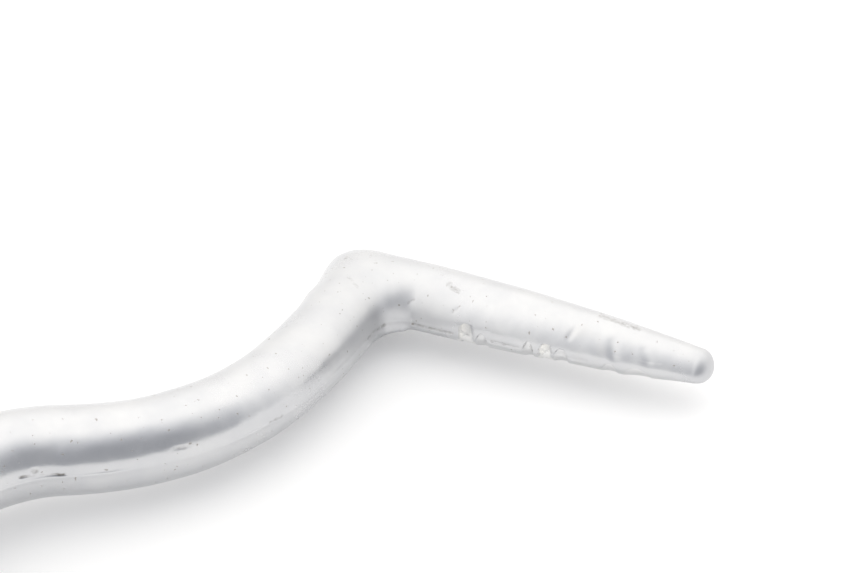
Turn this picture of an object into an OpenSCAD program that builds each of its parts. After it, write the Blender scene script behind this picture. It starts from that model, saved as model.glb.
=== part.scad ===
// Motorcycle gear shift lever: a one-piece aluminium forging (clamp boss, S-shaped
// arm and toe peg) held on the shift shaft by a pinch bolt with two washers.
//
// Frame: the origin is the centre of the serrated bore, +X runs along the bore
// towards the toe peg, +Y runs forward from the boss to the peg, +Z is up as the
// lever lies on a bench. The arm and the peg share one parting plane, which leans
// down from the boss so that both the boss and the corner reach the bench.

/* [Arm] */
// Distance from the shaft axis forward to the peg axis
peg_forward = 130; // [115:1:150]
// Radius of the round arm
arm_r = 5.5; // [5:0.1:6.2]
// Angle that the arm swings outboard and then back
bend_angle = 62.5; // [45:0.5:70]
// Centreline radius of the bend nearer the boss
rear_bend_r = 18; // [14:0.5:24]
// Centreline radius of the bend nearer the peg
front_bend_r = 32.5; // [26:0.5:38]
// Length of the straight stretch between the front bend and the corner
front_straight = 22.5; // [18:0.5:28]

/* [Toe peg] */
// Length from the corner's centre to the centre of the tip's round end
peg_l = 49.2; // [44:0.1:56]
// Half width at the root
peg_root_r = 5.65; // [5.3:0.05:6]
// Radius of the round tip
peg_tip_r = 2.9; // [2.4:0.1:3.4]
// How late the taper comes: 1 is a straight cone, more keeps the peg full for longer
peg_taper_power = 2.3; // [1.6:0.1:3]
// Depth of the flat underside below the parting plane
peg_under_depth = 3.5; // [3.3:0.1:3.7]
// Half width of each grip notch across the underside
notch_r = 0.9; // [0.7:0.05:1.1]
// Height of the notches' round roofs, measured from the parting plane
notch_roof_z = -0.6; // [-1.5:0.1:-0.4]
// Distance from one pair of notches to the next
notch_pair_pitch = 10.5; // [9:0.1:11]
// Distance between the two notches of a pair
notch_gap = 3.7; // [3:0.1:4]

/* [Clamp boss] */
// Outside radius of the boss
boss_r = 12; // [11.5:0.1:13]
// Length of the boss along the shaft
boss_w = 14; // [12:0.5:16]
// Radius of the bore at the serration crests
bore_crest_r = 5.55; // [5.45:0.01:5.6]
// Radius of the bore at the serration roots
bore_root_r = 6.05; // [5.95:0.01:6.15]
// Number of serrations round the bore
serrations = 30; // [24:1:36]
// Width of the clamp slot
slot_w = 2.5; // [2:0.1:3]
// Distance from the shaft axis back to the pinch bolt's axis
bolt_back = 11.5; // [11:0.1:12.5]
// Height of each ear's outer face from the slot's middle
ear_h = 8.5; // [8:0.1:9]

/* [Pinch bolt and washers] */
// Length of the bolt under its head
bolt_l = 20; // [18:0.5:20.5]
// Outer radius of the thread
thread_r = 2.98; // [2.95:0.01:2.99]
// Thread pitch
thread_pitch = 1; // [1:0.05:1.25]
// Width of the hexagon head across its flats
hex_af = 10; // [8:0.5:10]
// Height of the head
hex_h = 4; // [3.5:0.1:4.5]
// Thickness of the plain washer
plain_washer_t = 1.6; // [1:0.1:1.8]
// Outside radius of the plain washer
plain_washer_r = 6; // [5.5:0.1:6.2]
// Thickness of the split lock washer
lock_washer_t = 1.6; // [1.2:0.1:1.8]
// Outside radius of the split lock washer
lock_washer_r = 5.2; // [5:0.1:5.4]

/* [Hidden] */
$fn = 96;
eps = 0.01;
// Length by which a cutter passes the faces that it cuts through
overshoot = 1;

// Arm and parting plane
knuckle_lap = 0.08;
knuckle_r = arm_r + knuckle_lap;
joint_gap = 0.25;
plane_lean = asin((boss_r - knuckle_r) / peg_forward);
bend_side = 1 - cos(bend_angle);
bends_forward = (rear_bend_r + front_bend_r) * sin(bend_angle);
rear_straight = peg_forward - front_straight - bends_forward;
peg_side = (rear_bend_r + front_bend_r) * bend_side;
neck_start = 7;
neck_end = 26;
neck_inset = 0.4;
neck_r = boss_w / 2 - neck_inset;
neck_tuck = 0.05;

// Toe peg
peg_steps = 12;
tip_lap = 0.03;
under_lift_root = 2.7;
under_lift_tip = 0.2;
first_notch = 17;
notch_pairs = 3;

// Boss
ear_back = 7;
serration_half = 3.3;
serration_lap = 0.3;
spot_face_margin = 0.8;
spot_face_r = plain_washer_r + spot_face_margin;
clear_hole_r = 3.2;
tapped_hole_r = 3.05;
far = 60;

// Bolt
thread_depth = 0.54;
thread_crest = 0.12;
tip_chamfer = 0.6;
shank_neck = 1;
head_chamfer_rise = 1.5;
head_chamfer_inset = 0.2;
head_z = ear_h + plain_washer_t + lock_washer_t;
washer_hole_r = 3.2;
lock_gap = 0.9;
lock_slant = 20;

// Half width of the peg at a distance x from the corner
function peg_r(x) = peg_root_r
    - (peg_root_r - peg_tip_r) * pow(max(x, 0) / peg_l, peg_taper_power);

// Height of the centre of the underside's arc above the parting plane
function under_lift(x) = under_lift_root + (under_lift_tip - under_lift_root) * x / peg_l;

// Radius of the underside's arc
function under_r(x) = peg_under_depth + under_lift(x);

// Leans what is drawn flat in the parting plane down onto the bench
module in_parting_plane() {
    rotate([-plane_lean, 0, 0])
        children();
}

// A round bar along +Y
module bar_y(r, l) {
    rotate([-90, 0, 0])
        cylinder(r = r, h = l);
}

// One round bend in the parting plane, from angle a to a + sweep about its centre,
// stopping just short of both ends, where a knuckle closes the joint
module bend(bend_r, a, sweep) {
    trim = joint_gap / bend_r * 180 / PI;
    rotate([0, 0, a + trim])
        rotate_extrude(angle = sweep - 2 * trim)
            translate([bend_r, 0])
                circle(r = arm_r);
}

module knuckle(place) {
    translate(place)
        sphere(r = knuckle_r);
}

module arm() {
    rear_start = [0, rear_straight, 0];
    rear_end = rear_start + rear_bend_r * [bend_side, sin(bend_angle), 0];
    front_centre = rear_end + front_bend_r * [-cos(bend_angle), sin(bend_angle), 0];
    front_end = [peg_side, peg_forward - front_straight, 0];

    bar_y(arm_r, rear_straight);
    translate(rear_start + [rear_bend_r, 0, 0])
        bend(rear_bend_r, 180 - bend_angle, bend_angle);
    translate(front_centre)
        bend(front_bend_r, -bend_angle, bend_angle);
    translate(front_end)
        bar_y(arm_r, front_straight);
    for (place = [rear_start, rear_end, front_end, [peg_side, peg_forward, 0]])
        knuckle(place);
}

// The neck that swells from the arm into the boss
module neck() {
    translate([0, neck_start, 0])
        rotate([-90, 0, 0])
            cylinder(r1 = neck_r, r2 = arm_r - neck_tuck, h = neck_end - neck_start);
}

// Outline of the full round peg, turned about its own axis
module peg_outline() {
    side = [for (i = [0 : peg_steps]) let (x = peg_l * i / peg_steps) [peg_r(x), x]];
    intersection() {
        union() {
            polygon(concat([[0, 0]], side, [[0, peg_l]]));
            translate([0, peg_l])
                circle(r = peg_tip_r + tip_lap);
        }
        square([far, far]);
    }
}

// Outline that the flatter underside is turned from, about its raised and leaning axis
module under_outline() {
    end = peg_l + peg_tip_r + overshoot;
    polygon([[0, 0], [under_r(0), 0], [under_r(end), end], [0, end]]);
}

module peg() {
    lean = atan((under_lift_root - under_lift_tip) / peg_l);
    intersection() {
        rotate([0, 90, 0])
            rotate_extrude()
                peg_outline();
        union() {
            translate([-eps, -far / 2, 0])
                cube([far, far, far]);
            translate([0, 0, under_lift_root])
                rotate([0, 90 + lean, 0])
                    rotate_extrude()
                        under_outline();
        }
    }
}

// Three pairs of round-roofed notches cut across the underside of the peg
module peg_notches() {
    for (pair = [0 : notch_pairs - 1])
        for (side = [0, 1])
            translate([first_notch + pair * notch_pair_pitch + side * notch_gap, 0, 0])
                rotate([90, 0, 0])
                    linear_extrude(height = far, center = true)
                        notch_outline();
}

module notch_outline() {
    translate([0, notch_roof_z - notch_r])
        circle(r = notch_r);
    translate([-notch_r, notch_roof_z - notch_r - far])
        square([2 * notch_r, far]);
}

// The boss with the lug behind it that the bolt pulls together
module boss_solid() {
    rotate([0, 90, 0])
        cylinder(r = boss_r, h = boss_w, center = true);
    translate([-boss_w / 2, -bolt_back - ear_back, -ear_h])
        cube([boss_w, bolt_back + ear_back, 2 * ear_h]);
}

// Crest bore with pointed serrations round it, along X
module serrated_bore() {
    step = 360 / serrations;
    half = serration_half;
    inner = bore_crest_r - serration_lap;
    rotate([0, 90, 0]) {
        cylinder(r = bore_crest_r, h = far, center = true);
        linear_extrude(height = far, center = true)
            polygon([for (i = [0 : serrations - 1], p = [[-half, inner], [0, bore_root_r], [half, inner]])
                p[1] * [cos(i * step + p[0]), sin(i * step + p[0])]]);
    }
}

module clamp_cuts() {
    serrated_bore();
    // Slot from the bore out through the back of the lug
    translate([-far / 2, -far, -slot_w / 2])
        cube([far, far, slot_w]);
    // Clearance hole in the upper ear, tapped hole in the lower ear
    translate([0, -bolt_back, 0]) {
        cylinder(r = clear_hole_r, h = far);
        translate([0, 0, -far])
            cylinder(r = tapped_hole_r, h = far);
        translate([0, 0, ear_h])
            cylinder(r = spot_face_r, h = far);
    }
}

module lever_forging() {
    color([0.80, 0.81, 0.82])
        difference() {
            union() {
                boss_solid();
                in_parting_plane() {
                    neck();
                    arm();
                    translate([peg_side, peg_forward, 0])
                        difference() {
                            peg();
                            peg_notches();
                        }
                }
            }
            clamp_cuts();
        }
}

// Outline of the threaded shank: one vee per turn, with the far end chamfered
module thread_outline() {
    turns = floor((bolt_l - shank_neck) / thread_pitch);
    root_r = thread_r - thread_depth;
    vees = [for (i = [0 : turns - 1]) let (z = tip_chamfer + i * thread_pitch) each [
        [thread_r, z],
        [thread_r, z + thread_crest],
        [root_r, z + thread_pitch / 2],
        [root_r, z + thread_pitch / 2 + thread_crest]
    ]];
    polygon(concat([[0, 0], [root_r, 0]], vees, [[root_r, bolt_l], [0, bolt_l]]));
}

// Hexagon head with its top corners turned off
module hex_head() {
    corner_r = hex_af / 2 / cos(30);
    intersection() {
        cylinder(r = corner_r, h = hex_h, $fn = 6);
        cylinder(
            r1 = corner_r + hex_h * head_chamfer_rise,
            r2 = hex_af / 2 - head_chamfer_inset,
            h = hex_h
        );
    }
}

module pinch_bolt() {
    color([0.62, 0.63, 0.65])
        translate([0, -bolt_back, head_z]) {
            hex_head();
            translate([0, 0, -bolt_l])
                rotate_extrude()
                    thread_outline();
        }
}

// Spring washer, cut through on a slant
module lock_washer() {
    color([0.55, 0.56, 0.58])
        translate([0, -bolt_back, ear_h + plain_washer_t])
            difference() {
                cylinder(r = lock_washer_r, h = lock_washer_t);
                translate([0, 0, -overshoot])
                    cylinder(r = washer_hole_r, h = lock_washer_t + 2 * overshoot);
                translate([0, -lock_washer_r, lock_washer_t / 2])
                    rotate([0, lock_slant, 0])
                        cube([lock_gap, 2 * lock_washer_r, 4 * lock_washer_t], center = true);
            }
}

module plain_washer() {
    color([0.66, 0.67, 0.68])
        translate([0, -bolt_back, ear_h])
            difference() {
                cylinder(r = plain_washer_r, h = plain_washer_t);
                translate([0, 0, -overshoot])
                    cylinder(r = washer_hole_r, h = plain_washer_t + 2 * overshoot);
            }
}

lever_forging();
pinch_bolt();
lock_washer();
plain_washer();
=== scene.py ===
"""Looks of a forged aluminium gear shift lever with its pinch bolt and washers.

The lever is one swept skin, from the clamp lug through the boss, the S-shaped arm and the
corner to the tip of the toe peg; the bore, slot and bolt hole are cut out of it afterwards.
Sizes are millimetres in the row frame and become metres when a mesh is made.
"""
import math

import bmesh
import bpy
import numpy as np
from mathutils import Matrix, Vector, noise


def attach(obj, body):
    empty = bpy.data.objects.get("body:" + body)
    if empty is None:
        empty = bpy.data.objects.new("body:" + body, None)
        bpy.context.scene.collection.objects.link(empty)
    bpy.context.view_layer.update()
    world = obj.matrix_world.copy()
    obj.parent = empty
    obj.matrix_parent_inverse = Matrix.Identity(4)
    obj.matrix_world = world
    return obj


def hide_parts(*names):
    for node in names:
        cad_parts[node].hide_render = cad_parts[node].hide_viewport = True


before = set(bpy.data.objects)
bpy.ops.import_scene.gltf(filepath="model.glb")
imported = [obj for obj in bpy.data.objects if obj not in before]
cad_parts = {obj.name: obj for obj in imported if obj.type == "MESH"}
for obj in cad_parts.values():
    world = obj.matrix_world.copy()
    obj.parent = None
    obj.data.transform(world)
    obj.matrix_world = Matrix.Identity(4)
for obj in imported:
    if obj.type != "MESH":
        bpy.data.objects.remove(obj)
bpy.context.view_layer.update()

MM = 0.001

# Arm, as in the CAD model
PEG_FORWARD = 130.0
ARM_R = 5.5
BEND = math.radians(62.5)
REAR_R = 18.0
FRONT_R = 32.5
FRONT_STRAIGHT = 22.5
KNUCKLE_R = ARM_R + 0.08
SIDE_STEP = (REAR_R + FRONT_R) * (1 - math.cos(BEND))
BENDS_FORWARD = (REAR_R + FRONT_R) * math.sin(BEND)
REAR_STRAIGHT = PEG_FORWARD - FRONT_STRAIGHT - BENDS_FORWARD
CORNER = np.array([SIDE_STEP, PEG_FORWARD])
INNER_FILLET = 4.0

# What only the skin has: the arm is thicker behind REAR_BEND and fuller in front of FRONT_BEND,
# and uneven where it was bent. A swell is its size, then where it rises, is full, fades and ends,
# along +Y for the arm and from 0 to 1 round the corner.
REAR_THICKER = 0.36
REAR_BEND = (72, 86)
FRONT_UNDER = 0.2
FRONT_NEAR = 0.25
FRONT_BEND = (107, 113)
UNDER_SWELL = (0.28, 76, 84, 88, 96)
NEAR_HOLLOW = (-0.15, 92, 97, 102, 108)
FAR_HOLLOW = (-0.35, 105, 113, 116, 121)
CORNER_BULGE = (1.50, 0.11, 0.42, 0.45, 0.68)
CORNER_NARROW = 0.17
CORNER_FULL = 2.35
CORNER_FULLER = (0.15, 0, 0.4, 0.4, 0.8)
CORNER_STATIONS = 46
CORNER_RUN = 12

# Toe peg: PEG_LOW is its depth under the parting plane, which PEG_THINS reduces in steps (by how
# much, and from where to where along the peg); FULL values are the exponents of the upper quarter
PEG_L = 49.2
PEG_ROOT = 5.65
PEG_TIP = 2.9
PEG_TAPER = 2.3
PEG_LOW = 3.25
PEG_THINS = ((0.6, 0.42, 0.68), (1.2, 0.80, 1.02))
PEG_TUCK = 0.04
TIP_REACH = 2.15
PEG_FULL = 1.85
PEG_STEP = 0.13

# Boss, lug and bore
BOSS_R = 12.0
BOSS_HALF_W = 7.0
BOSS_ROUND = 0.16
LUG_EDGE = 1.0
LUG_BLEND = 1.6
LUG_BACK = -18.5
LUG_HALF_H = 8.8
SPOT_FACE_Z = 8.5
SPOT_FACE_R = 6.8
BOLT_Y = -11.5
SLOT_HALF = 1.25
CREST_R = 5.55
ROOT_R = 6.05
TEETH = 30
LEAD_IN = 1.1
TAPPED_R = 3.05
NECK_FROM = 8.0
NECK_TO = 27.0

# The parting plane leans down from the boss so that the corner rests on the bench
LEAN = math.asin((BOSS_R - KNUCKLE_R) / PEG_FORWARD)
BENCH_Z = -BOSS_R

# Bolt and washers
BOLT_L = 20.0
THREAD_R = 2.98
THREAD_DEPTH = 0.54
PITCH = 1.0
HEX_AF = 10.0
HEX_H = 4.0
PLAIN_T = 1.6
PLAIN_R = 6.0
LOCK_T = 1.6
LOCK_R = 5.2
WASHER_HOLE = 3.2
HEAD_Z = SPOT_FACE_Z + PLAIN_T + LOCK_T

# Camera: angles in degrees, from the -Y side towards +X, and up
CAMERA_AZIMUTH = 24.05
CAMERA_ELEVATION = 33.84
CAMERA_ROLL = -0.38
CAMERA_DISTANCE = 275.9
CAMERA_TARGET = (35.45, 133.47, -6.18)
LENS = 50.0
SENSOR = 22.3

# Light: the room's own strength, and the dim side it is darkest on, in degrees
ROOM = 0.53
DIM_BESIDE_CAMERA = 25
DIM_ELEVATION = 10
DIM_CORE = 22
DIM_EDGE = 80
WALL_LIGHT = 0.70
OVERHEAD_LIGHT = 1.02
OVERHEAD_FROM = 0.85
FLOOR_GLOW = 0.23


# ---------------------------------------------------------------- small helpers

def smooth(lo, hi, x):
    """0 below lo, 1 above hi, with an S-shaped rise between."""
    t = np.clip((np.asarray(x, float) - lo) / (hi - lo), 0, 1)
    return t * t * (3 - 2 * t)


def soft_max(a, b, k):
    """The larger of a and b, with the corner between them rounded over about k."""
    h = np.clip(0.5 + 0.5 * (a - b) / k, 0, 1)
    return b + (a - b) * h + k * h * (1 - h)


def swell(x, start, full, fade, end):
    """Rises from 0 at start to 1 at full, and falls from fade to 0 at end."""
    return smooth(start, full, x) * (1 - smooth(fade, end, x))


def swollen(x, size, start, full, fade, end):
    return size * float(swell(x, start, full, fade, end))


def make_object(name, verts_mm, faces, smooth_angle=None):
    """A mesh object in metres from millimetre points, with its faces turned outward."""
    mesh = bpy.data.meshes.new(name)
    mesh.from_pydata((np.asarray(verts_mm) * MM).tolist(), [], faces)
    mesh.validate()
    outward = bmesh.new()
    outward.from_mesh(mesh)
    bmesh.ops.recalc_face_normals(outward, faces=outward.faces)
    outward.to_mesh(mesh)
    outward.free()
    for p in mesh.polygons:
        p.use_smooth = True
    if smooth_angle is not None:
        mesh.set_sharp_from_angle(angle=math.radians(smooth_angle))
    obj = bpy.data.objects.new(name, mesh)
    bpy.context.scene.collection.objects.link(obj)
    return obj


def ring_faces(rings, n, closed_path=False):
    """Quads between rings of n points each; a closed path joins the last ring to the first."""
    faces = []
    last = rings if closed_path else rings - 1
    for i in range(last):
        a, b = i * n, ((i + 1) % rings) * n
        for j in range(n):
            k = (j + 1) % n
            faces.append((a + j, a + k, b + k, b + j))
    return faces


def close_ends(verts, faces, rings, n, hubs):
    """Close the first and last ring with triangles about a hub point each."""
    for ring, hub_point in zip((0, rings - 1), hubs):
        hub = len(verts)
        verts.append(hub_point)
        for j in range(n):
            a, b = ring * n + j, ring * n + (j + 1) % n
            faces.append((hub, b, a) if ring == 0 else (hub, a, b))


# ---------------------------------------------------------------- the lever's skin

def arm_centreline(step):
    """Points and headings of the arm in the parting plane, from the neck to the corner's fan."""
    rear_centre = np.array([REAR_R, REAR_STRAIGHT])
    rear_end = np.array([REAR_R * (1 - math.cos(BEND)), REAR_STRAIGHT + REAR_R * math.sin(BEND)])
    front_centre = rear_end + FRONT_R * np.array([-math.cos(BEND), math.sin(BEND)])
    fan_y = PEG_FORWARD - KNUCKLE_R - INNER_FILLET
    points, headings = [], []

    def add(p, heading):
        points.append(p)
        headings.append(heading)

    for y in np.arange(NECK_TO, REAR_STRAIGHT, step):
        add(np.array([0.0, y]), 0.0)
    for a in np.arange(0, BEND, step / REAR_R):
        add(rear_centre + REAR_R * np.array([-math.cos(a), math.sin(a)]), a)
    for a in np.arange(0, BEND, step / FRONT_R):
        h = BEND - a
        add(front_centre + FRONT_R * np.array([math.cos(h), -math.sin(h)]), h)
    for y in np.arange(PEG_FORWARD - FRONT_STRAIGHT, fan_y, step):
        add(np.array([SIDE_STEP, y]), 0.0)
    return np.array(points), np.array(headings)


def peg_half_width(x):
    """Half the peg's width at a distance from the corner: it tapers faster towards the tip."""
    return PEG_ROOT - (PEG_ROOT - PEG_TIP) * np.clip(x / PEG_L, 0, 1) ** PEG_TAPER


class Stations:
    """Every cross-section of the lever: its two side points in the parting plane, its heights
    above and below that plane, how round it is, how far it has turned into the lean, its place
    along the lever, and how full its near upper quarter is (2 is round, less is flatter)."""

    def __init__(self):
        self.rows = []

    def add(self, inner, outer, up, low, roundness, lean, along, full=2.0):
        self.rows.append((inner, outer, up, low, roundness, lean, along, full))

    def arrays(self):
        return [np.array(column, float) for column in zip(*self.rows)]


def boss_stations(st):
    """Sections of the lug, the boss and the neck, at right angles to +Y."""
    step = 0.4
    edge_turn = np.linspace(0, math.pi / 2, 7)
    ys = np.concatenate([LUG_BACK + LUG_EDGE * (1 - np.cos(edge_turn)),
                         np.arange(LUG_BACK + LUG_EDGE + step, NECK_TO, step)])
    neck_h = math.sqrt(BOSS_R ** 2 - NECK_FROM ** 2)
    neck_slope = -NECK_FROM / neck_h
    for y in ys:
        edge_gap = max(LUG_BACK + LUG_EDGE - y, 0)
        inset = LUG_EDGE - math.sqrt(max(LUG_EDGE ** 2 - edge_gap ** 2, 0))
        if y <= NECK_FROM:
            disc = math.sqrt(max(BOSS_R ** 2 - y * y, 0)) if abs(y) < BOSS_R else 0.0
            h = float(soft_max(disc, LUG_HALF_H, LUG_BLEND)) if y < 0 else disc
            w, roundness, lean = BOSS_HALF_W, BOSS_ROUND, 0.0
        else:
            # a cubic from the boss's height and slope to the arm's
            run = NECK_TO - NECK_FROM
            t = (y - NECK_FROM) / run
            h = (neck_h * (2 * t ** 3 - 3 * t ** 2 + 1) + neck_slope * run * (t ** 3 - 2 * t ** 2 + t)
                 + ARM_R * (3 * t ** 2 - 2 * t ** 3))
            w = BOSS_HALF_W + (ARM_R - BOSS_HALF_W) * float(smooth(0, 0.75, t))
            roundness = BOSS_ROUND + (1 - BOSS_ROUND) * float(smooth(0, 0.6, t))
            lean = float(smooth(0, 1, t))
        st.add((w - inset, y), (-w + inset, y), h - inset, h - inset, roundness, lean, y - NECK_TO)


def arm_stations(st, step=0.36):
    """The arm, a little thicker towards the rear and with uneven flanks where it was bent."""
    points, headings = arm_centreline(step)
    for i, (p, a) in enumerate(zip(points, headings)):
        side = np.array([math.cos(a), -math.sin(a)])
        y = p[1]
        front = float(smooth(*FRONT_BEND, y))
        rear = float(1 - smooth(*REAR_BEND, y)) * float(smooth(NECK_TO, NECK_TO + 15, y))
        r = ARM_R + REAR_THICKER * rear
        low = swollen(y, *UNDER_SWELL) + FRONT_UNDER * front
        near = swollen(y, *NEAR_HOLLOW) + FRONT_NEAR * front
        far = swollen(y, *FAR_HOLLOW)
        full = 2.0 + (CORNER_FULL - 2.0) * float(smooth(113, 122, y))
        st.add(p + (r + near) * side, p - (r + far) * side, r, r + low, 1.0, 1.0, i * step, full)
    return len(points) * step


def corner_reach(pivot, ray):
    """From the pivot to the corner's outer line: two straight sides joined by an arc."""
    to_corner = CORNER - pivot
    mid = float(ray @ to_corner)
    arc = mid + math.sqrt(max(mid ** 2 - to_corner @ to_corner + KNUCKLE_R ** 2, 0))
    to_arm_side = (CORNER[0] - KNUCKLE_R - pivot[0]) / min(ray[0], -1e-9)
    to_peg_side = (CORNER[1] + KNUCKLE_R - pivot[1]) / max(ray[1], 1e-9)
    if pivot[1] + to_arm_side * ray[1] <= CORNER[1]:
        return to_arm_side
    if pivot[0] + to_peg_side * ray[0] >= CORNER[0]:
        return to_peg_side
    return arc


def corner_stations(st, along):
    """A fan of sections about the inside fillet: the outside runs round a tighter radius."""
    pivot = CORNER + (KNUCKLE_R + INNER_FILLET) * np.array([1, -1])
    peg_start = float(peg_half_width(KNUCKLE_R + INNER_FILLET))
    arm_low = ARM_R + FRONT_UNDER
    for i in range(CORNER_STATIONS):
        t = i / CORNER_STATIONS
        a = math.pi - t * math.pi / 2
        ray = np.array([math.cos(a), math.sin(a)])
        far = corner_reach(pivot, ray) + swollen(t, *CORNER_BULGE)
        near = INNER_FILLET - CORNER_NARROW * float(1 - smooth(0.0, 0.5, t))
        taper = (KNUCKLE_R - peg_start) * float(smooth(0.3, 1, t))
        near, far = near + taper, far - taper
        low = arm_low + (PEG_LOW - arm_low) * float(smooth(0.35, 1.0, t))
        up = ARM_R + (peg_start - ARM_R) * t
        full = (CORNER_FULL + swollen(t, *CORNER_FULLER)
                + (PEG_FULL - CORNER_FULL) * float(smooth(0.6, 1.0, t)))
        st.add(pivot + near * ray, pivot + far * ray, up, low, 1.0, 1.0, along + t * CORNER_RUN, full)
    return along + CORNER_RUN


def peg_low(x):
    """Depth of the peg below its parting plane: it thins in two steps towards the tip."""
    low = PEG_LOW
    for drop, start, end in PEG_THINS:
        low -= drop * float(smooth(start, end, x / PEG_L))
    return low


def peg_stations(st, along):
    """Sections of the tapering peg, slightly tucked in near its root, and of its round end."""
    start = KNUCKLE_R + INNER_FILLET
    for x in np.arange(start, PEG_L, PEG_STEP):
        a = float(peg_half_width(x))
        tuck = PEG_TUCK * float(smooth(start, start + 2.0, x) * (1 - smooth(start, start + 9, x)))
        st.add((CORNER[0] + x, CORNER[1] - a + tuck), (CORNER[0] + x, CORNER[1] + a),
               a, min(peg_low(x), a), 1.0, 1.0, along + x - start, PEG_FULL)
    # the blunt round end
    for b in np.linspace(0, math.pi / 2, 26)[1:-1]:
        reach = TIP_REACH * math.sin(b)
        k = math.cos(b) ** 0.9
        st.add((CORNER[0] + PEG_L + reach, CORNER[1] - PEG_TIP * k),
               (CORNER[0] + PEG_L + reach, CORNER[1] + PEG_TIP * k),
               PEG_TIP * k, peg_low(PEG_L) * k, 1.0, 1.0, along + PEG_L - start + reach,
               PEG_FULL + (2.0 - PEG_FULL) * math.sin(b))


def section_unit(theta, roundness):
    """A point on a unit square whose corners are rounded by roundness, in direction theta."""
    ux, uz = np.abs(np.cos(theta)), np.abs(np.sin(theta))
    c = 1 - roundness
    side = 1 / np.maximum(ux, 1e-9)
    top = 1 / np.maximum(uz, 1e-9)
    dot = (ux + uz) * c
    corner = dot + np.sqrt(np.maximum(dot ** 2 - 2 * c * c + roundness ** 2, 0))
    t = np.where(side * uz <= c, side, np.where(top * ux <= c, top, corner))
    return t * np.cos(theta), t * np.sin(theta)


# Grip notches along the peg: start, end, depth, height of the roof. A wall notch is steep at
# its start and ramps back out; the others are plain scoops.
WALL_NOTCHES = ((16.5, 18.8, 1.3, 1.3), (28.25, 30.1, 1.2, 0.9))
SCOOP_NOTCHES = ((19.0, 20.7, 0.6, 0.5), (25.8, 27.4, 0.7, 0.9), (30.2, 32.3, 0.55, 0.8),
                 (36.9, 39.2, 0.45, 0.1), (39.9, 43.8, 0.5, 0.2))


def notch_depth(x, height):
    """How far the near flank is cut back at a place along the peg and a height."""
    depth = np.zeros_like(height)
    for notches, walled in ((WALL_NOTCHES, True), (SCOOP_NOTCHES, False)):
        for start, end, deep, roof in notches:
            t = (x - start) / (end - start)
            inside = (t > 0) & (t < 1)
            t = np.clip(t, 0, 1)
            if walled:
                profile = (1 - t) * np.minimum(t * 25, 1)
                arch = roof + 0.25 - 0.9 * np.abs(2 * t - 1) ** 3
                lip = 0.25 + 0.75 * smooth(-2.2, 0.6, height)
            else:
                profile = np.sin(math.pi * t) ** 0.8
                arch = roof - 1.4 * np.abs(2 * t - 1) ** 2.4
                lip = 0.45 + 0.55 * smooth(-2.6, -1.3, height)
            depth = np.maximum(depth, np.where(inside & (height < arch), deep * profile * lip, 0))
    return depth


RING_POINTS = 176


def section_points(up, low, half, roundness, full):
    """Sideways and upward distance of every ring point from its section's middle."""
    t = np.arange(RING_POINTS) / RING_POINTS * 2 * math.pi
    theta = t - 0.30 * np.sin(2 * t)
    x = np.zeros((len(up), RING_POINTS))
    z = np.zeros_like(x)
    for i in range(len(up)):
        x[i], z[i] = section_unit(theta, roundness[i])
        if full[i] != 2.0:
            quarter = (x[i] > 0) & (z[i] > 0)
            x[i] = np.where(quarter, np.abs(x[i]) ** (2 / full[i]), x[i])
            z[i] = np.where(quarter, np.abs(z[i]) ** (2 / full[i]), z[i])
    return x * half[:, None], np.where(z > 0, z * up[:, None], z * low[:, None])


def cut_notches(side, height, half, low, peg_x, on_peg):
    """Set the near flank back where the notches are, and lift the underside beside them."""
    depth = notch_depth(np.broadcast_to(peg_x[:, None], side.shape), height)
    depth = np.where(on_peg[:, None], depth, 0)
    near = smooth(-0.2, 0.5, side / half[:, None])
    flank = half[:, None] * np.sqrt(np.clip(1 - (height / (low[:, None] + 1e-6)) ** 2, 0.05, 1))
    wanted = np.where(height < 0, flank, half[:, None]) - depth
    side = np.where((depth > 0) & (side > wanted), wanted, side)
    return side, height + 0.35 * np.minimum(depth, 1) * (1 - near) * (height < -1.5)


def add_parting_line(side, height, half, lean, along, peg_x, on_peg):
    """The trimmed parting line: a low, uneven ridge on both sides, a groove on the peg."""
    uneven = np.array([0.6 + 0.8 * noise.noise(Vector((a * 0.16, 3.1, 0))) for a in along])
    ridge = 0.13 * np.clip(uneven, 0.15, 1.3) * lean
    ridge = np.where(on_peg, -0.9 * ridge * (peg_x < 35), ridge)
    on_line = np.exp(-((height + 0.15 * on_peg[:, None]) / 0.33) ** 2) * np.sign(side)
    return side + on_line * ridge[:, None] * (np.abs(side) > 0.3 * half[:, None])


def lever_skin():
    """Vertices of every section, ring by ring, in row-frame millimetres."""
    st = Stations()
    boss_stations(st)
    along = arm_stations(st)
    along = corner_stations(st, along)
    peg_stations(st, along)
    inner, outer, up, low, roundness, lean, along, full = st.arrays()

    centre, half = (inner + outer) / 2, np.linalg.norm(outer - inner, axis=1) / 2
    towards_inner = (inner - outer) / (2 * half[:, None])
    side, height = section_points(up, low, half, roundness, full)
    peg_x = centre[:, 0] - CORNER[0]
    on_peg = (np.abs(towards_inner[:, 1] + 1) < 1e-6) & (peg_x > KNUCKLE_R)
    side, height = cut_notches(side, height, half, low, peg_x, on_peg)
    side = add_parting_line(side, height, half, lean, along, peg_x, on_peg)

    # only what leans leaves its section's own plane
    plan = centre[:, None, :] + side[:, :, None] * towards_inner[:, None, :]
    plane_y = plan[:, :, 1]
    angle = LEAN * lean[:, None]
    leans = lean[:, None] > 0
    y = np.where(leans, plane_y * np.cos(angle) + height * np.sin(angle), plane_y)
    z = np.where(leans, height * np.cos(angle) - plane_y * np.sin(angle), height)
    return np.stack([plan[:, :, 0], y, z], -1)


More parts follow.
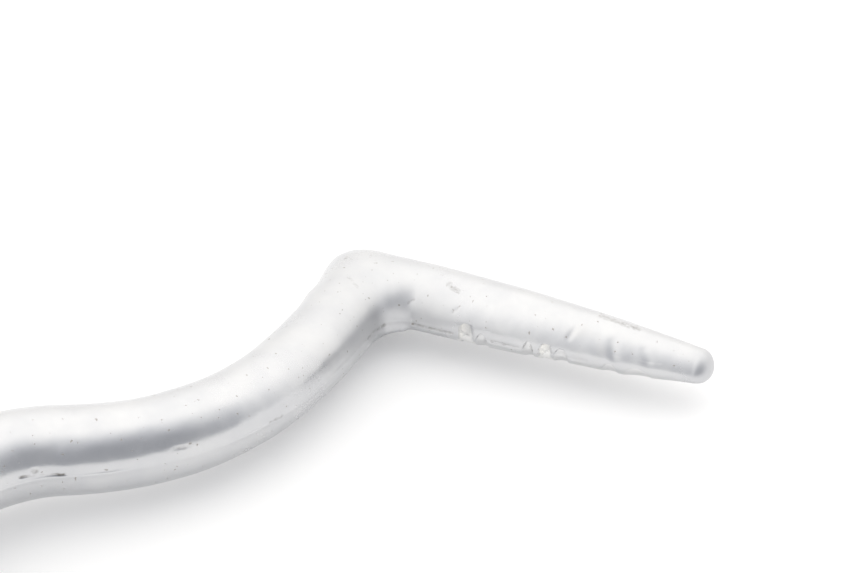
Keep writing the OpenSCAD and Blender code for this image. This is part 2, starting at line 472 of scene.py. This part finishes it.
# Marks of use and of the trimmed flash: two ends, radius, dirt and painted crease shade, and depth
# (negative: raised). The darkening column is dirt in the scratches and painted shade in the
# parting-line creases round the inside corner and along the peg.
MARKS = (
    ((8.6, 70.5, -2.6), (12.8, 73.9, -3.3), 0.17, 0.9, 0.08),
    ((9.7, 71.9, -2.3), (9.9, 72.0, -2.3), 0.35, 0.55, 0.04),
    ((23.2, 82.8, -2.5), (24.3, 83.9, -2.7), 0.30, 0.42, 0.04),
    ((30.3, 94.4, -4.5), (31.0, 96.6, -4.7), 0.22, 0.40, 0.05),
    ((24.5, 128.5, -1.3), (25.7, 128.4, -1.0), 0.35, 0.45, 0.03),
    ((62.5, 130.5, -2.1), (67.6, 130.2, -2.6), 0.55, 0.42, 0.02),
    ((27.2, 123.7, -0.6), (29.5, 122.0, -1.0), 0.40, 0.30, 0.01),
    ((40.7, 128.3, -1.2), (42.2, 127.5, -1.5), 0.50, 0.38, 0.02),
    ((36.0, 125.0, -3.6), (36.6, 125.4, -3.0), 0.22, 0.55, 0.04),
    ((42.5, 125.3, -3.5), (43.1, 125.7, -2.9), 0.22, 0.42, 0.03),
    # painted shade: the parting-line crease round the inside corner is darkened in colour, over a real
    # groove
    ((33.0, 118.0, -5.9), (33.2, 121.7, -6.4), 0.20, 1.0, 0.20),
    ((33.3, 122.1, -6.4), (33.5, 122.3, -6.4), 0.26, 1.0, 0.12),
    # painted shade: the parting-line crease along the peg's near flank is darkened in colour, over a
    # real groove
    ((36.9, 124.3, -6.5), (42.9, 124.4, -6.5), 0.22, 0.55, 0.10),
    ((48.5, 124.6, -6.4), (52.4, 124.7, -6.4), 0.22, 0.45, 0.10),
    ((59.2, 126.1, -3.7), (60.3, 129.0, -2.0), 0.45, 0.0, 0.06),
    ((65.1, 126.9, -3.2), (65.8, 126.0, -5.1), 0.70, 0.0, 0.08),
    ((69.6, 127.3, -3.6), (70.4, 126.6, -4.8), 0.70, 0.0, 0.07),
    ((34.0, 122.9, -8.0), (35.4, 124.0, -8.0), 0.80, 0.0, -0.70),
    ((32.9, 118.6, -7.4), (33.4, 121.8, -7.4), 0.60, 0.0, -0.28),
)


# Places the finish is duller: the inside of the corner, where nothing polishes it, and the tip.
DULL = (
    ((22.0, 96.0, -4.0), (31.0, 114.0, -4.0), 7.0, 0.45),
    ((31.5, 117.0, -4.0), (33.2, 123.2, -3.0), 7.5, 1.0),
    ((33.2, 123.2, -3.0), (38.0, 124.6, -3.0), 4.5, 1.0),
    ((78.5, 130.0, -4.5), (80.5, 130.0, -4.5), 3.4, 1.5),
)


def near_mark(points, start, end, radius):
    """1 on the line between two points, fading to 0 over about the radius."""
    a, b = np.array(start), np.array(end)
    t = np.clip((points - a) @ (b - a) / ((b - a) @ (b - a)), 0, 1)
    gap = np.linalg.norm(points - (a + t[..., None] * (b - a)), axis=-1)
    return np.exp(-(gap / radius) ** 2)


def outward_normals(verts):
    """Unit normals of the skin at every ring point, pointing out of the metal."""
    along_lever = np.gradient(verts, axis=0)
    round_ring = np.roll(verts, -1, axis=1) - np.roll(verts, 1, axis=1)
    normal = np.cross(round_ring, along_lever)
    normal /= np.linalg.norm(normal, axis=2, keepdims=True) + 1e-12
    ring = len(verts) // 3
    if np.sum(normal[ring, 0] * (verts[ring, 0] - verts[ring].mean(axis=0))) < 0:
        normal = -normal
    return normal


def uneven_surface(verts):
    """Slow forging waves over the skin, a few hundredths of a millimetre high, and the marks."""
    flat = verts.reshape(-1, 3)
    rings, n = verts.shape[:2]
    wave = np.array([0.055 * noise.noise(Vector(p) * 0.16) + 0.02 * noise.noise(Vector(p) * 0.55)
                     for p in flat]).reshape(rings, n)
    for start, end, radius, _, depth in MARKS:
        wave -= depth * near_mark(flat, start, end, radius).reshape(rings, n)
    calm = smooth(NECK_FROM, NECK_TO, verts[:, :, 1])
    return verts + outward_normals(verts) * (wave * calm)[:, :, None]


def bared_metal_and_glint(points):
    """1 where a notch bared the metal, whose brighter colour also paints the glint of the notch facets:
    behind the peg's own flank, inside the notches' reach.
    """
    along = points[:, 0] - CORNER[0]
    in_plane = points[:, 1] * math.cos(LEAN) - points[:, 2] * math.sin(LEAN)
    height = points[:, 1] * math.sin(LEAN) + points[:, 2] * math.cos(LEAN)
    side = CORNER[1] - in_plane
    surface = peg_half_width(along) * np.sqrt(np.clip(1 - (height / 5.2) ** 2, 0, 1))
    bared_and_glint = smooth(0.15, 0.35, surface - side) * (side > 1.5) * (along > 15) * (along < 45)
    bared_and_glint *= (height > -2.0) * (height < 1.4)
    # the walled notches get the full brightening, a painted glint on their facets
    walled = sum((along > start - 0.3) * (along < end + 0.1) for start, end, _, _ in WALL_NOTCHES)
    return bared_and_glint * (0.3 + 0.7 * walled)


def write_wear(obj):
    """At each vertex: dirt and painted crease shade, from the marks; bared metal with its painted
    glint, where a notch bared metal; dull, by place.
    """
    mesh = obj.data
    points = np.empty(len(mesh.vertices) * 3)
    mesh.vertices.foreach_get("co", points)
    points = points.reshape(-1, 3) / MM
    dirt_and_crease_shade = np.zeros(len(points))
    # darker along the marks: dirt in the scratches, painted shade in the parting-line creases
    for start, end, radius, amount, _ in MARKS:
        dirt_and_crease_shade = np.maximum(dirt_and_crease_shade, amount * near_mark(points, start, end, radius * 1.25))
    dull = np.zeros(len(points))
    for start, end, radius, amount in DULL:
        dull = np.maximum(dull, amount * near_mark(points, start, end, radius))
    for name, values in (("dirt_and_crease_shade", dirt_and_crease_shade), ("bared_and_glint", bared_metal_and_glint(points)), ("dull", dull)):
        mesh.attributes.new(name, "FLOAT", "POINT").data.foreach_set("value", values)


def build_lever():
    verts = uneven_surface(lever_skin())
    rings, n = verts.shape[:2]
    faces = ring_faces(rings, n)
    flat = verts.reshape(-1, 3).tolist()
    close_ends(flat, faces, rings, n, (verts[0].mean(axis=0).tolist(), verts[-1].mean(axis=0).tolist()))
    return make_object("lever_skin", flat, faces)


# ---------------------------------------------------------------- cuts

def prism_x(name, outline, x0, x1):
    """A prism along X from an outline of (y, z) points."""
    n = len(outline)
    verts = [(x, p[0], p[1]) for x in (x0, x1) for p in outline]
    faces = [tuple(range(n))[::-1], tuple(range(n, 2 * n))]
    faces += [(j, (j + 1) % n, n + (j + 1) % n, n + j) for j in range(n)]
    return make_object(name, verts, faces)


def lathe(name, profile, segments=96):
    """A closed turned solid about Z from (radius, z) points, bottom to top."""
    verts, faces = [], []
    for r, z in profile:
        for j in range(segments):
            a = 2 * math.pi * j / segments
            verts.append((r * math.cos(a), r * math.sin(a), z))
    faces += ring_faces(len(profile), segments)
    faces.append(tuple(range(segments))[::-1])
    top = (len(profile) - 1) * segments
    faces.append(tuple(range(top, top + segments)))
    return make_object(name, verts, faces)


def bore_tool():
    """The serrated bore as one cutter along X, opened out into a lead-in chamfer at both ends."""
    step = 2 * math.pi / TEETH
    half = math.radians(3.3)
    land = (step - 2 * half) / 3
    corners = ((-half, CREST_R), (0, ROOT_R), (half, CREST_R), (half + land, CREST_R),
               (half + 2 * land, CREST_R))
    outline = [(i * step + turn, r) for i in range(TEETH) for turn, r in corners]
    inside, outside, over = BOSS_HALF_W - LEAD_IN, BOSS_HALF_W + 0.01, 20
    stations = (-over, -outside, -inside, inside, outside, over)
    lead_r = ROOT_R + LEAD_IN / 2
    verts = []
    for x in stations:
        least = lead_r if abs(x) > inside else 0
        verts += [(x, max(r, least) * math.cos(a), max(r, least) * math.sin(a)) for a, r in outline]
    n, last = len(outline), len(stations) - 1
    faces = [tuple(reversed(f)) for f in ring_faces(len(stations), n)]
    faces += [tuple(range(n))[::-1], tuple(range(last * n, (last + 1) * n))]
    return make_object("bore_tool", verts, faces)


def cut(target, cutter):
    """Cut one object out of another for good, and remove the cutter."""
    mod = target.modifiers.new("cut", "BOOLEAN")
    mod.operation = "DIFFERENCE"
    mod.solver = "EXACT"
    mod.object = cutter
    graph = bpy.context.evaluated_depsgraph_get()
    result = bpy.data.meshes.new_from_object(target.evaluated_get(graph))
    target.modifiers.clear()
    old = target.data
    target.data = result
    bpy.data.meshes.remove(old)
    bpy.data.objects.remove(cutter)


def box_cutter(name, low, high):
    outline = [(low[1], low[2]), (high[1], low[2]), (high[1], high[2]), (low[1], high[2])]
    return prism_x(name, outline, low[0], high[0])


def machine_boss(lever):
    """The serrated bore with its lead-in chamfers, the slot, the bolt hole and the spot face."""
    over = 20.0
    cut(lever, bore_tool())
    cut(lever, box_cutter("slot_tool", (-over, -2 * over, -SLOT_HALF), (over, 0, SLOT_HALF)))
    mouth_r, mouth_z = WASHER_HOLE + 0.5, SPOT_FACE_Z + 0.1
    tap_mouth_r, tap_end_z = TAPPED_R + 0.65, -LUG_HALF_H + 0.1
    for name, profile in (
        ("clear_tool", [(WASHER_HOLE, 0), (WASHER_HOLE, SPOT_FACE_Z - 0.4), (mouth_r, mouth_z),
                        (mouth_r, SPOT_FACE_Z + 0.2)]),
        ("tapped_tool", [(tap_mouth_r, -over), (tap_mouth_r, tap_end_z),
                         (TAPPED_R, -LUG_HALF_H + 0.75), (TAPPED_R, -0.1)]),
        ("spot_tool", [(SPOT_FACE_R, SPOT_FACE_Z), (SPOT_FACE_R, over)]),
    ):
        tool = lathe(name, profile)
        tool.location = (0, BOLT_Y * MM, 0)
        bpy.context.view_layer.update()
        cut(lever, tool)


# ---------------------------------------------------------------- bolt and washers

def thread_radius(z, phi):
    """Radius of the bolt's helical thread at a height, for every angle phi round it."""
    tip_z = HEAD_Z - BOLT_L
    root = THREAD_R - THREAD_DEPTH
    turn = (z / PITCH - phi / (2 * math.pi)) % 1.0
    vee = np.clip(np.abs(turn - 0.5) * 2 * 1.12 - 0.06, 0, 1)
    fade = smooth(tip_z, tip_z + 0.9, z) * (1 - smooth(HEAD_Z - 1.6, HEAD_Z - 0.7, z))
    chamfer = root - 0.35 + (THREAD_R - root + 0.4) * float(np.clip((z - tip_z) / 0.7, 0, 1))
    return np.minimum(root + THREAD_DEPTH * vee * fade, chamfer)


def head_rings(phi):
    """The hexagon head, chamfered at both ends, with a shallow dished top."""
    top_z, flat = HEAD_Z + HEX_H, HEX_AF / 2
    seat_z = HEAD_Z + 0.3
    hexagon = flat / np.cos((phi + math.pi / 6) % (math.pi / 3) - math.pi / 6)
    rings = [(np.full_like(phi, flat - 0.25), z) for z in (HEAD_Z, seat_z)]
    for z in np.concatenate([[seat_z], np.linspace(HEAD_Z + 0.34, top_z - 0.02, 26)]):
        low_cone = flat + 0.12 + (z - HEAD_Z - 0.3) * 3.0
        top_cone = flat - 0.3 + (top_z - z) * 1.75
        rings.append((np.minimum(hexagon, np.minimum(low_cone, top_cone)), z))
    for inset, z in ((0.42, top_z), (1.6, top_z), (1.75, top_z - 0.12)):
        rings.append((np.full_like(phi, flat - inset), z))
    return rings


def build_bolt():
    """One turned surface, tip to head: helical thread, plain neck, then the hexagon."""
    seg = 96
    phi = np.arange(seg) / seg * 2 * math.pi
    neck = THREAD_R - THREAD_DEPTH
    rings = [(thread_radius(z, phi), z)
             for z in np.arange(HEAD_Z - BOLT_L, HEAD_Z - 0.5, PITCH / 14)]
    rings += [(np.full(seg, neck + flare), HEAD_Z - below)
              for flare, below in ((0, 0.35), (0.08, 0.15), (0.3, 0))]
    rings += head_rings(phi)
    verts = [(r[j] * math.cos(phi[j]), BOLT_Y + r[j] * math.sin(phi[j]), z)
             for r, z in rings for j in range(seg)]
    faces = ring_faces(len(rings), seg)
    close_ends(verts, faces, len(rings), seg, ((0, BOLT_Y, rings[0][1]), (0, BOLT_Y, rings[-1][1])))
    return make_object("bolt_detail", verts, faces, smooth_angle=28)


def rounded_section(r_in, r_out, z0, z1, edge, steps=4):
    """Corner-rounded rectangle as (radius, z) points, anticlockwise."""
    points = []
    corners = ((r_out - edge, z0 + edge, -90), (r_out - edge, z1 - edge, 0),
               (r_in + edge, z1 - edge, 90), (r_in + edge, z0 + edge, 180))
    for cr, cz, start in corners:
        for i in range(steps + 1):
            a = math.radians(start + 90 * i / steps)
            points.append((cr + edge * math.cos(a), cz + edge * math.sin(a)))
    return points


def swept_ring(name, section, slant_gap=0.0, slant=0.0, segments=160):
    """A ring about the bolt's axis; with a gap, its two cut ends lean by slant."""
    n = len(section)
    verts, faces = [], []
    count = segments + 1 if slant_gap else segments
    mid_z = sum(z for _, z in section) / n
    for i in range(count):
        t = i / segments
        for r, z in section:
            a = -math.pi / 2 + 2 * math.pi * t
            if slant_gap:
                shift = (slant_gap / 2) * (1 - 2 * t) / r
                lean = (z - mid_z) * slant / r * abs(1 - 2 * t) ** 12
                a += shift + lean
            verts.append((r * math.cos(a), BOLT_Y + r * math.sin(a), z))
    faces += ring_faces(count, n, closed_path=not slant_gap)
    if slant_gap:
        faces.append(tuple(range(n))[::-1])
        faces.append(tuple(range((count - 1) * n, count * n)))
    faces = [tuple(reversed(f)) for f in faces]
    return make_object(name, verts, faces, smooth_angle=40)


def build_washers():
    """The plain washer, and the spring washer with its slanting gap on top of it."""
    plain = swept_ring("plain_washer_detail",
                       rounded_section(WASHER_HOLE, PLAIN_R, SPOT_FACE_Z, SPOT_FACE_Z + PLAIN_T, 0.18))
    lock = swept_ring("lock_washer_detail",
                      rounded_section(WASHER_HOLE, LOCK_R, SPOT_FACE_Z + PLAIN_T, HEAD_Z, 0.14),
                      slant_gap=0.9, slant=math.tan(math.radians(20)))
    return plain, lock


# ---------------------------------------------------------------- materials

class Nodes:
    """Short way to build the node tree of a material or a world."""

    def __init__(self, owner, coords="Object"):
        owner.use_nodes = True
        self.owner = owner
        self.tree = owner.node_tree
        self.coords = self.add("ShaderNodeTexCoord").outputs[coords]

    def add(self, kind, **settings):
        node = self.tree.nodes.new(kind)
        for key, value in settings.items():
            setattr(node, key, value)
        return node

    def link(self, a, b):
        self.tree.links.new(a, b)

    def fill(self, socket, value):
        """Link a node's output to a socket, or write a number or a colour on it."""
        if isinstance(value, tuple):
            socket.default_value = (*value, 1.0)
        elif isinstance(value, (int, float)):
            socket.default_value = value
        else:
            self.link(value, socket)

    def noise(self, scale, detail=3.0, rough=0.55, vector=None):
        node = self.add("ShaderNodeTexNoise")
        node.inputs["Scale"].default_value = scale
        node.inputs["Detail"].default_value = detail
        node.inputs["Roughness"].default_value = rough
        self.link(vector or self.coords, node.inputs["Vector"])
        return node.outputs["Fac"]

    def attribute(self, name):
        return self.add("ShaderNodeAttribute", attribute_name=name).outputs["Fac"]

    def stretch(self, x, y, z):
        node = self.add("ShaderNodeMapping")
        node.inputs["Scale"].default_value = (x, y, z)
        self.link(self.coords, node.inputs["Vector"])
        return node.outputs["Vector"]

    def ramp(self, value, lo, hi, out_lo=0.0, out_hi=1.0, shape="LINEAR"):
        node = self.add("ShaderNodeMapRange", interpolation_type=shape)
        for key, v in (("From Min", lo), ("From Max", hi), ("To Min", out_lo), ("To Max", out_hi)):
            node.inputs[key].default_value = v
        self.link(value, node.inputs["Value"])
        return node.outputs["Result"]

    def math(self, op, a, b):
        node = self.add("ShaderNodeMath", operation=op)
        self.fill(node.inputs[0], a)
        self.fill(node.inputs[1], b)
        return node.outputs[0]

    def mix(self, factor, a, b):
        node = self.add("ShaderNodeMix", data_type="RGBA")
        self.link(factor, node.inputs["Factor"])
        self.fill(node.inputs[6], a)
        self.fill(node.inputs[7], b)
        return node.outputs[2]

    def bump(self, height, strength, distance, normal=None):
        node = self.add("ShaderNodeBump")
        node.inputs["Strength"].default_value = strength
        node.inputs["Distance"].default_value = distance
        self.link(height, node.inputs["Height"])
        if normal is not None:
            self.link(normal, node.inputs["Normal"])
        return node.outputs["Normal"]

    def towards(self, direction):
        """Cosine of the angle between the coordinates and a direction."""
        node = self.add("ShaderNodeVectorMath", operation="DOT_PRODUCT")
        node.inputs[1].default_value = Vector(direction).normalized()
        self.link(self.coords, node.inputs[0])
        return node.outputs["Value"]


def surface(name, metallic):
    """Nodes of a new material, with its shader at hand."""
    m = Nodes(bpy.data.materials.new(name))
    m.shader = m.tree.nodes["Principled BSDF"]
    m.shader.inputs["Metallic"].default_value = metallic
    return m


DULL_ROUGHNESS = 0.22


def aluminium_tint(m, cloud, specks):
    """Satin grey, clouded, with faint stains, small dark specks, dirt in the scratch marks and painted
    shade in the parting-line creases, and the brighter metal that the notches bared, which also paints
    the glint of their facets."""
    stain = m.ramp(m.noise(60, 3, 0.6), 0.62, 0.74, 0, 0.35)
    tint = m.mix(m.ramp(cloud, 0.35, 0.65), (0.60, 0.605, 0.62), (0.65, 0.653, 0.66))
    tint = m.mix(stain, tint, (0.56, 0.54, 0.51))
    tint = m.mix(m.math("MULTIPLY", specks, 0.55), tint, (0.30, 0.27, 0.22))
    # darker along the marks: dirt in the scratches, painted shade in the parting-line creases
    patchy = m.ramp(m.noise(1600, 3, 0.7), 0.3, 0.65, 0.2, 1.3)
    dirt_and_crease_shade = m.math("MULTIPLY", m.attribute("dirt_and_crease_shade"), patchy)
    tint = m.mix(m.ramp(dirt_and_crease_shade, 0.15, 0.95, 0.0, 0.9), tint, (0.13, 0.115, 0.095))
    # painted glint: the metal the notches bared is made brighter, most on the walled notch facets
    return m.mix(m.attribute("bared_and_glint"), tint, (0.90, 0.895, 0.88))


def aluminium_material():
    m = surface("forged_aluminium", metallic=1.0)
    cloud = m.noise(170, 4, 0.6)
    grain = m.noise(2600, 3, 0.6)
    pits = m.noise(900, 2, 0.5)
    scratch = m.noise(1500, 2, 0.5, m.stretch(1.0, 0.12, 1.0))
    specks = m.ramp(m.noise(1700, 1, 0.4), 0.735, 0.76)
    m.link(aluminium_tint(m, cloud, specks), m.shader.inputs["Base Color"])
    rough = m.math("ADD", m.ramp(cloud, 0.3, 0.7, 0.20, 0.25), m.ramp(grain, 0.3, 0.7, -0.01, 0.02))
    rough = m.math("ADD", rough, m.math("MULTIPLY", specks, 0.25))
    rough = m.math("ADD", rough, m.math("MULTIPLY", m.attribute("dull"), DULL_ROUGHNESS))
    m.link(rough, m.shader.inputs["Roughness"])
    normal = m.bump(grain, 0.02, 0.00004)
    normal = m.bump(scratch, 0.10, 0.00004, normal)
    normal = m.bump(m.ramp(pits, 0.24, 0.32), 0.05, 0.00004, normal)
    m.link(normal, m.shader.inputs["Normal"])
    return m.owner


def steel_material(name, colour, rough_low, rough_high, brush):
    """Zinc plated steel: mottled plate, turning marks and dull patches."""
    m = surface(name, metallic=1.0)
    mottled = m.noise(420, 4, 0.6)
    worn = m.ramp(m.noise(150, 3, 0.6), 0.55, 0.7)
    base = m.mix(m.ramp(mottled, 0.35, 0.65), colour, tuple(min(c * 1.12, 1) for c in colour))
    base = m.mix(m.math("MULTIPLY", worn, 0.35), base, (0.50, 0.47, 0.41))
    m.link(base, m.shader.inputs["Base Color"])
    rough = m.math("ADD", m.ramp(mottled, 0.3, 0.7, rough_low, rough_high),
                   m.math("MULTIPLY", worn, 0.12))
    m.link(rough, m.shader.inputs["Roughness"])
    marks = m.noise(2400, 2, 0.5, m.stretch(*brush))
    m.link(m.bump(marks, 0.15, 0.00003), m.shader.inputs["Normal"])
    return m.owner


def assign(obj, material):
    obj.data.materials.clear()
    obj.data.materials.append(material)


# ---------------------------------------------------------------- stage, light and camera

def build_floor():
    """A pale plain bench, a hair below the boss so that the two don't flicker."""
    mesh = bpy.data.meshes.new("floor")
    s = 6.0
    z = BENCH_Z * MM - 0.00002
    mesh.from_pydata([(-s, -s, z), (s, -s, z), (s, s, z), (-s, s, z)], [], [(0, 1, 2, 3)])
    floor = bpy.data.objects.new("floor", mesh)
    bpy.context.scene.collection.objects.link(floor)
    m = surface("bench_white", metallic=0.0)
    faint = m.ramp(m.noise(14, 3, 0.5), 0.3, 0.7)
    m.link(m.mix(faint, (0.73, 0.73, 0.735), (0.75, 0.75, 0.75)), m.shader.inputs["Base Color"])
    m.shader.inputs["Emission Color"].default_value = (1.0, 1.0, 1.0, 1.0)
    m.shader.inputs["Emission Strength"].default_value = FLOOR_GLOW
    m.shader.inputs["Roughness"].default_value = 0.7
    assign(floor, m.owner)


def build_light():
    """A soft dome, brighter overhead, that dims and cools towards one side of the camera."""
    world = bpy.data.worlds.new("studio")
    bpy.context.scene.world = world
    w = Nodes(world, coords="Generated")
    azimuth = math.radians(CAMERA_AZIMUTH + DIM_BESIDE_CAMERA)
    dim_side = (math.sin(azimuth), -math.cos(azimuth), math.tan(math.radians(DIM_ELEVATION)))
    away = w.math("ARCCOSINE", w.towards(dim_side), 0.0)
    bright = w.ramp(away, math.radians(DIM_CORE), math.radians(DIM_EDGE), shape="SMOOTHSTEP")
    high = w.ramp(w.towards((0, 0, 1)), 0.0, OVERHEAD_FROM, WALL_LIGHT, OVERHEAD_LIGHT,
                  shape="SMOOTHSTEP")
    background = w.tree.nodes["Background"]
    strength = w.math("ADD", w.math("MULTIPLY", bright, high), ROOM)
    w.link(strength, background.inputs["Strength"])
    w.link(w.mix(bright, (0.93, 0.95, 1.0), (1.0, 0.986, 0.965)), background.inputs["Color"])


def build_camera():
    """Where the photographer stood, worked out from the lever's outline."""
    azimuth, elevation = math.radians(CAMERA_AZIMUTH), math.radians(CAMERA_ELEVATION)
    back = Vector((math.sin(azimuth) * math.cos(elevation),
                   -math.cos(azimuth) * math.cos(elevation), math.sin(elevation)))
    data = bpy.data.cameras.new("camera")
    data.sensor_width = SENSOR
    data.lens = LENS
    data.clip_start = 0.01
    camera = bpy.data.objects.new("camera", data)
    bpy.context.scene.collection.objects.link(camera)
    camera.location = (Vector(CAMERA_TARGET) + back * CAMERA_DISTANCE) * MM
    camera.rotation_euler = back.to_track_quat("Z", "Y").to_euler()
    camera.rotation_euler.rotate_axis("Z", math.radians(CAMERA_ROLL))
    bpy.context.scene.camera = camera


# ---------------------------------------------------------------- put together

build_camera()
build_light()
build_floor()

lever = build_lever()
machine_boss(lever)
lever.name = "lever_detail"
for polygon in lever.data.polygons:
    polygon.use_smooth = True
lever.data.set_sharp_from_angle(angle=math.radians(32))
write_wear(lever)
bolt = build_bolt()
plain, lock = build_washers()

assign(lever, aluminium_material())
assign(bolt, steel_material("zinc_bolt", (0.66, 0.67, 0.69), 0.22, 0.34, (1, 1, 0.1)))
assign(plain, steel_material("zinc_washer", (0.68, 0.69, 0.70), 0.26, 0.38, (0.2, 1, 1)))
assign(lock, steel_material("spring_washer", (0.52, 0.53, 0.55), 0.30, 0.42, (1, 0.2, 1)))

for piece, node, body, slot in (
    (lever, "lever_forging", "lever", "forged_aluminium"),
    (bolt, "pinch_bolt", "bolt", "zinc_plated_bolt"),
    (plain, "plain_washer", "washers", "zinc_plated_washer"),
    (lock, "lock_washer", "washers", "spring_steel"),
):
    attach(piece, body)
    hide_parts(node)

bpy.context.scene.view_settings.view_transform = "Standard"
